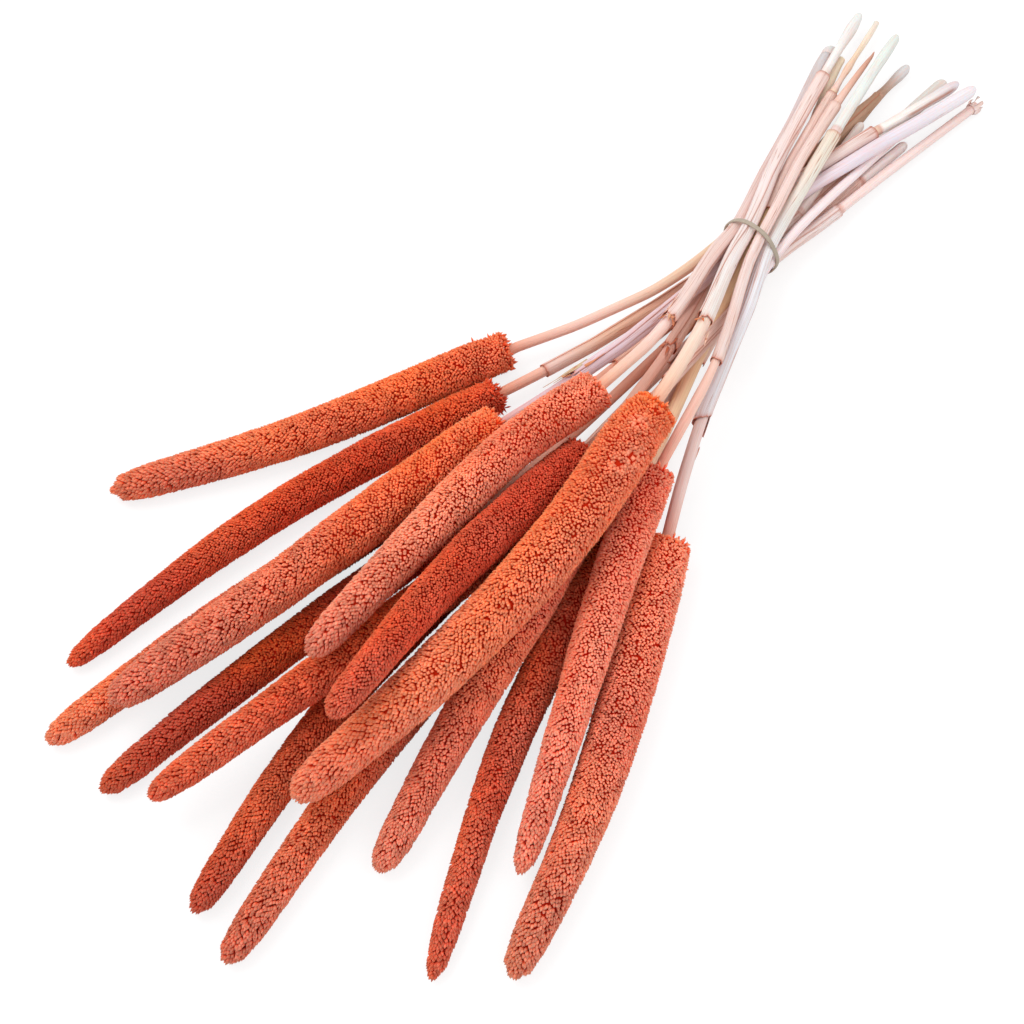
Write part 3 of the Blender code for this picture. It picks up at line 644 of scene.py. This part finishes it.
def makeStalk(number):
    # A tube: centre + r(s, a)(cos a side + sin a up), where r is the CAD stalk's radius with fine ridges
    # round it, a swelling at the node under its sheath, and an end that closes as its kind says.
    stem = stems[number]
    line = readLine(f"stalk_{number:02d}", count=110, stiffness=12.0)
    total = line["length"]
    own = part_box(f"stalk_{number:02d}")
    if stem["leaf"]:
        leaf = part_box(f"sheath_{number:02d}")
        mouthAt, nodeAt = leaf[0].x - own[0].x, total - (own[1].x - leaf[1].x)
    else:
        mouthAt, nodeAt = total, total - 50 * mm
    sides = stalk["sides"]
    turn = 2 * np.pi * np.arange(sides) / sides
    atEnd = np.interp(total, line["at"], line["radius"])
    reach, fall = endRings(stem["end"])
    stop = total - max(reach[-1], 0) * atEnd
    s = np.arange(-stalk["intoHead"], stop / mm - 0.5 * stalk["step"], stalk["step"]) * mm
    s = np.concatenate((s, [stop], stop + reach * atEnd))
    rows = len(s)
    factor = np.concatenate((np.ones(rows - 6), fall))
    butt = np.clip((s - nodeAt) / (total - nodeAt), 0, 1)
    shape = stem.get("buttShape", ((0, 1), (1, 0.95)))
    before = 1 - (1 - shape[0][1]) * smoothStep(-20 * mm, 0, s - nodeAt)
    r = np.interp(s, line["at"], line["radius"]) * np.where(s < nodeAt, before, eased(butt, shape))
    r = r * eased(np.clip(s / mouthAt, 0, 1), stem.get("bareShape", ((0, 1), (1, 1))))
    r = r * (1 + stalk["uneven"] * ripple(number + 20, 40 * mm, s))
    r = r * (1 + stalk["nodeSwell"] * np.exp(-((s - nodeAt - 1.5 * mm) / (2.2 * mm)) ** 2))
    r = np.maximum(r * factor, 0.02 * mm)
    wander = 2 * ripple(number, 90 * mm, s)[:, None]
    ridges = 1 + stalk["ridge"] * np.cos(stalk["ridges"] * turn[None] + wander)
    r = r[:, None] * ridges
    centre, _, side, up = along(line, s)
    ring = (centre[:, None] + (r * np.cos(turn))[..., None] * side[:, None]
            + (r * np.sin(turn))[..., None] * up[:, None])
    ring[..., 2] = np.maximum(ring[..., 2], floorGap)

    # bare colour near the head, then the butt's past the node, a dark line at the node, dye under the head
    bare = colourAlong(stem["bare"], np.clip(s / min(mouthAt, total), 0, 1))
    pale = smoothStep(-4 * mm, 3 * mm, s - nodeAt)[:, None]
    colour = bare * (1 - pale) + colourAlong(stem["butt"], butt) * pale
    ringLine = 0.5 * stem.get("collar", 1) * np.exp(-((s - nodeAt - 0.8 * mm) / (0.8 * mm)) ** 2)[:, None]
    colour = colour * (1 - ringLine) + linear("C8623E") * ringLine
    neck = 0.6 * np.exp(-np.maximum(s, 0) / (9 * mm))[:, None]
    colour = colour * (1 - neck) + linear("E48A66") * neck
    # the last rings of a hollow end turn back into the stem and are painted dark as shade inside the hollow;
    # a cut end's face is darkened less, to its own tan-brown
    if stem["end"] in ("hollow", "cut"):
        dark = np.zeros((rows, 1))
        dark[-5:] = 0.85 if stem["end"] == "hollow" else 0.4
        colour = colour * (1 - dark) + linear("6B5A48") * dark
    # the lower side of the stalk is flushed red-brown: partly dye that ran together between the stems, partly
    # painted shade
    dyeAndShadeBelow = (0.5 * smoothStep(-0.1, -0.9, np.sin(turn)))[None, :, None]
    colour = colour[:, None] * (1 - dyeAndShadeBelow) + linear("C66E52") * dyeAndShadeBelow
    # painted shadow: a brown stripe along stem 1's butt stands for the shade line beside it; its shape has no
    # groove
    if "groove" in stem:
        lengthwise = smoothStep(0.25, 0.4, butt) * (1 - smoothStep(0.85, 0.95, butt))
        aside = (turn - math.radians(stem["groove"])) / 0.32
        groove = 0.85 * lengthwise[:, None] * np.exp(-aside ** 2)[None]
        colour = colour * (1 - groove[..., None]) + linear("A05A38") * groove[..., None]
    lie = np.empty((rows, sides, 3))
    lie[..., 0] = np.cos(turn)
    lie[..., 1] = np.sin(turn)
    lie[..., 2] = (s / mm)[:, None] * 0.05 + 9 * number
    ends = np.stack((np.arange(sides)[::-1], (rows - 1) * sides + np.arange(sides)))
    cap = np.tile(np.stack((0.96 + 0.02 * np.cos(turn), 0.97 + 0.02 * np.sin(turn)), -1), (2, 1, 1))
    parts = (ring.reshape(-1, 3), [gridFaces(rows, sides), ends], colour.reshape(-1, 3), lie.reshape(-1, 3),
             [gridUvs(rows, sides, (0.01, 0.12, 0.93, 0.99)), cap])
    corners, groups, colour, lie, uvs = addShreds(
        parts, line, total, [strip for strip in frays if strip[0] == number], 0.4)
    piece = makeMesh(f"stalk{number:02d}", corners, groups,
                     {"tint": np.hstack((colour, np.ones((len(colour), 1)))), "lie": lie}, uvs)
    finishPiece(piece, f"stalk_{number:02d}", driedStraw)


def makeSheath(number):
    # A strip rolled round the stalk: the angle runs over a full turn and a lap, and the radius grows by a
    # wall's thickness along it, so that one margin lies on the other. Near its open end the lap turns into a
    # split, and the rim runs aslant, up and down in tears.
    stem = stems[number]
    line = readLine(f"sheath_{number:02d}", count=90, stiffness=12.0)
    columns = sheath["sides"]
    rows = int(line["length"] / mm / sheath["step"])
    a = np.linspace(0, 1, columns)
    v = np.linspace(0, 1, rows) ** 1.15
    tears = np.abs(ripple(number + 60, 0.5, a * 3)) * 0.6 + np.abs(ripple(number + 61, 0.16, a * 3)) * 0.4
    tears = (tears - tears.min()) / (tears.max() - tears.min())
    rim = (stem.get("tear", 4) * tears + stem.get("slant", 0) * a) * mm
    s = rim[None] + v[:, None] * (line["length"] - rim[None])
    opening = stem.get("gape", 1) * (1 - smoothStep(0, sheath["split"] * mm, s))
    lap = sheath["lap"] - 0.9 * opening
    wander = sheath["wander"] * ripple(number + 9, 90 * mm, s) * smoothStep(0, 20 * mm, s)
    seam = np.radians(stem["seam"] + stem.get("twist", 0) * s / line["length"]) + wander
    angle = seam - (1 - a[None]) * (2 * np.pi + lap)
    share = s / line["length"]
    base = np.interp(s, line["at"], line["radius"]) - 1.4 * sheath["wall"] * mm
    base = base * eased(share, stem.get("leafShape", ((0, 1), (1, 1))))
    toCollar = (line["length"] - s - 1.2 * mm) / (1.2 * mm)
    base = base + sheath["collarRise"] * mm * stem.get("collar", 1) * np.exp(-toCollar ** 2)
    c, d = np.cos(angle), np.sin(angle)
    crumple = 1 + sheath["crumple"] * ripple(number + 30, 1.1, c, d, s / (30 * mm))
    crumple = crumple + 0.02 * ripple(number + 33, 0.35, c, d)
    flare = sheath["flare"] * mm * opening + sheath["ruffle"] * mm * opening * ripple(number + 31, 1.0, c, d)
    inner = base * crumple + flare + 1.2 * sheath["wall"] * mm * a[None]
    outer = inner + sheath["wall"] * mm
    centre, _, side, up = along(line, s)
    ray = c[..., None] * side + d[..., None] * up
    outside, inside = centre + outer[..., None] * ray, centre + inner[..., None] * ray
    corners = np.vstack((outside.reshape(-1, 3), inside.reshape(-1, 3)))
    corners[:, 2] = np.maximum(corners[:, 2], floorGap)
    count = rows * columns
    shell = gridFaces(rows, columns, 0, wrap=False)
    edge = np.concatenate((np.arange(columns), np.arange(1, rows) * columns + columns - 1,
                           (rows - 1) * columns + np.arange(columns - 1)[::-1],
                           np.arange(1, rows - 1)[::-1] * columns))
    after = np.roll(edge, -1)
    hem = np.stack((after, edge, edge + count, after + count), -1)

    # its own colour; stained red-orange at the mouth's rim, along the outer margin and at the node's collar,
    # and flushed below: partly dye that ran together between the stems, partly painted shade on the lower
    # side
    colour = colourAlong(stem["leaf"], share)
    torn = 0.9 * np.exp(-(s - rim[None]) / (1.3 * mm))[..., None]
    margin = 0.8 * np.exp(-(1 - a) * 2 * np.pi * base / (0.4 * mm))[..., None]
    collar = 0.5 * stem.get("collar", 1) * np.exp(-(line["length"] - s) / (1.3 * mm))[..., None]
    stain = np.maximum(np.maximum(torn, margin), collar)
    dyeAndShadeBelow = 0.5 * smoothStep(-0.1, -0.9, d)[..., None]
    colour = colour * (1 - dyeAndShadeBelow) + linear("C6664A") * dyeAndShadeBelow
    colour = colour * (1 - stain) + linear("C45C38") * stain
    colour = np.tile(colour.reshape(-1, 3), (2, 1))
    # painted shade: the inner face of the roll is darkened and reddened
    colour[count:] = colour[count:] * 0.45 + linear("B0563A") * 0.4
    lie = np.stack((c, d, s / mm * 0.05 + 9 * number + 4), -1).reshape(-1, 3)
    u0 = gridUvs(rows, columns, (0.01, 0.12, 0.48, 0.99), wrap=False)
    u1 = gridUvs(rows, columns, (0.5, 0.12, 0.96, 0.99), wrap=False)
    hemStart = np.linspace(0.12, 0.98, len(edge), endpoint=False)
    hemEnd = hemStart + 0.86 / len(edge)
    left, right = 0 * hemStart + 0.97, 0 * hemStart + 0.99
    hemUv = np.stack((np.stack((left, hemEnd), -1), np.stack((left, hemStart), -1),
                      np.stack((right, hemStart), -1), np.stack((right, hemEnd), -1)), 1)
    parts = (corners, [shell, shell[:, ::-1] + count, hem], colour, np.tile(lie, (2, 1)),
             [u0, u1[:, ::-1], hemUv])
    corners, groups, colour, lie, uvs = addShreds(
        parts, line, 0, [strip for strip in shreds if strip[0] == number], 0.9)
    piece = makeMesh(f"sheath{number:02d}", corners, groups,
                     {"tint": np.hstack((colour, np.ones((len(colour), 1)))), "lie": lie}, uvs)
    finishPiece(piece, f"sheath_{number:02d}", driedLeaf)


def makeStraw(name, roughness, streak, line, bumpDepth):
    # Dry grass stem and leaf: satin, with veins that run lengthwise, a few sharp red-brown lines, which are
    # the contours of a noise drawn out along the stem, and flushes of dye between them.
    material, tree, shader = newMaterial(name, roughness, IOR=1.46, Specular_IOR_Level=0.3,
                                         Subsurface_Weight=0.2, Subsurface_Scale=0.002)
    shader.inputs["Subsurface Radius"].default_value = (1.0, 0.5, 0.35)
    tint = addNode(tree, "ShaderNodeAttribute", attribute_name="tint")
    lie = addNode(tree, "ShaderNodeAttribute", attribute_name="lie")
    fine = addNode(tree, "ShaderNodeMapping", {"Vector": lie.outputs["Vector"], "Scale": (8, 8, 0.8)})
    veins = addNode(tree, "ShaderNodeTexNoise", {"Vector": fine.outputs[0], "Scale": 1.0, "Detail": 3.0})
    drawn = addNode(tree, "ShaderNodeMapping", {"Vector": lie.outputs["Vector"], "Scale": (2.2, 2.2, 0.16)})
    folds = addNode(tree, "ShaderNodeTexNoise", {"Vector": drawn.outputs[0], "Scale": 1.0, "Detail": 1.0})
    off = addNode(tree, "ShaderNodeMath", {0: folds.outputs["Fac"], 1: 0.5}, operation="SUBTRACT")
    near = addNode(tree, "ShaderNodeMath", {0: off.outputs[0]}, operation="ABSOLUTE")
    crease = addNode(tree, "ShaderNodeMapRange", {"Value": near.outputs[0], "From Min": 0.0,
                                                  "From Max": 0.016, "To Min": line, "To Max": 0.0})
    broad = addNode(tree, "ShaderNodeMapping", {"Vector": lie.outputs["Vector"], "Scale": (1.3, 1.3, 0.6)})
    stains = addNode(tree, "ShaderNodeTexNoise", {"Vector": broad.outputs[0], "Scale": 1.0, "Detail": 2.0})
    dark = addNode(tree, "ShaderNodeMapRange", {"Value": veins.outputs["Fac"], "From Min": 0.34,
                                                "From Max": 0.56, "To Min": streak, "To Max": 0.0})
    pink = addNode(tree, "ShaderNodeMapRange", {"Value": stains.outputs["Fac"], "From Min": 0.5,
                                                "From Max": 0.7, "To Min": 0.0, "To Max": 0.25})
    flushed = addNode(tree, "ShaderNodeMix", {0: pink.outputs[0], 6: tint.outputs["Color"],
                                              7: (*linear("EFAE9C"), 1)}, data_type="RGBA")
    veined = addNode(tree, "ShaderNodeMix", {0: dark.outputs[0], 6: flushed.outputs[2],
                                             7: (*linear("D69C86"), 1)}, data_type="RGBA")
    lined = addNode(tree, "ShaderNodeMix", {0: crease.outputs[0], 6: veined.outputs[2],
                                            7: (*linear("B4603F"), 1)}, data_type="RGBA")
    tree.links.new(lined.outputs[2], shader.inputs["Base Color"])
    height = addNode(tree, "ShaderNodeMath", {0: veins.outputs["Fac"], 1: crease.outputs[0]},
                     operation="SUBTRACT")
    bump = addNode(tree, "ShaderNodeBump", {"Height": height.outputs[0], "Strength": 0.6,
                                            "Distance": bumpDepth * mm})
    tree.links.new(bump.outputs[0], shader.inputs["Normal"])
    return material


bandLook = {"steps": 140, "sides": 12, "width": 2.7, "thickness": 1.2, "colour": "BAAC9B",
            "shadow": "9A8C7C"}


def makeBand():
    # A rounded bar carried round the CAD loop. The loop's line is a sum of eight waves in polar form, fitted
    # by least squares to the solid's inner and outer corners at once; a superellipse runs round it.
    corners = cornersOf(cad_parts["band"].data)
    middle = corners.mean(0)
    y, z = corners[:, 1] - middle[1], corners[:, 2] - middle[2]
    waves = lambda t: np.concatenate([[np.cos(k * t), np.sin(k * t)] for k in range(9)]).T
    series = np.linalg.lstsq(waves(np.arctan2(z, y)), np.hypot(y, z), rcond=None)[0]
    a = np.linspace(-np.pi, np.pi, bandLook["steps"], endpoint=False)
    line = waves(a) @ series
    centre = np.stack((np.full(len(a), middle[0]), middle[1] + line * np.cos(a),
                       middle[2] + line * np.sin(a)), -1)
    outwards = np.stack((0 * a, np.cos(a), np.sin(a)), -1)
    sides = bandLook["sides"]
    turn = 2 * np.pi * np.arange(sides) / sides
    c, d = np.cos(turn), np.sin(turn)
    across = 0.5 * bandLook["width"] * mm * np.sign(c) * np.abs(c) ** 0.5
    thick = 0.5 * bandLook["thickness"] * mm * np.sign(d) * np.abs(d) ** 0.7
    twist = 0.18 * ripple(5, 1.5, np.cos(a), np.sin(a))[:, None]
    shiftX = 0.5 * mm * ripple(6, 1.2, np.cos(a), np.sin(a))[:, None]
    ring = centre[:, None] + (thick * np.cos(twist) + across * np.sin(twist))[..., None] * outwards[:, None]
    ring = ring + (across * np.cos(twist) - thick * np.sin(twist) + shiftX)[..., None] * np.array((1.0, 0, 0))
    ring[..., 2] = np.maximum(ring[..., 2], 0.05 * mm)
    rows = len(a)
    quads = gridFaces(rows + 1, sides) % (rows * sides)
    piece = makeMesh("rubberBand", ring.reshape(-1, 3), [quads], None,
                     [gridUvs(rows + 1, sides, (0.01, 0.01, 0.99, 0.99))])
    finishPiece(piece, "band", oldRubber)


def makeOldRubber():
    # Natural rubber gone dull: taupe, matt, with a bloom of pale dust.
    material, tree, shader = newMaterial("oldRubber", 0.6, IOR=1.52)
    place = addNode(tree, "ShaderNodeTexCoord")
    bloom = addNode(tree, "ShaderNodeTexNoise", {"Vector": place.outputs["Object"], "Scale": 700.0,
                                                 "Detail": 3.0})
    mix = addNode(tree, "ShaderNodeMix", {0: bloom.outputs["Fac"], 6: (*linear(bandLook["colour"]), 1),
                                          7: (*linear(bandLook["shadow"]), 1)}, data_type="RGBA")
    tree.links.new(mix.outputs[2], shader.inputs["Base Color"])
    return material


makeStudio()
dyedMillet = makeDyedMillet()
driedStraw = makeStraw("driedStraw", 0.5, 0.25, 0.25, 0.15)
driedLeaf = makeStraw("driedLeaf", 0.6, 0.3, 0.7, 0.22)
oldRubber = makeOldRubber()
print("studio and materials made")
grains = 0
for number in stems:
    grains += makeHead(number)
print("seed heads made:", grains, "grains")
for number in stems:
    makeStalk(number)
    if stems[number]["leaf"]:
        makeSheath(number)
print("stalks and sheaths made")
makeBand()
print("rubber band made")
bpy.context.scene.view_settings.view_transform = "Standard"
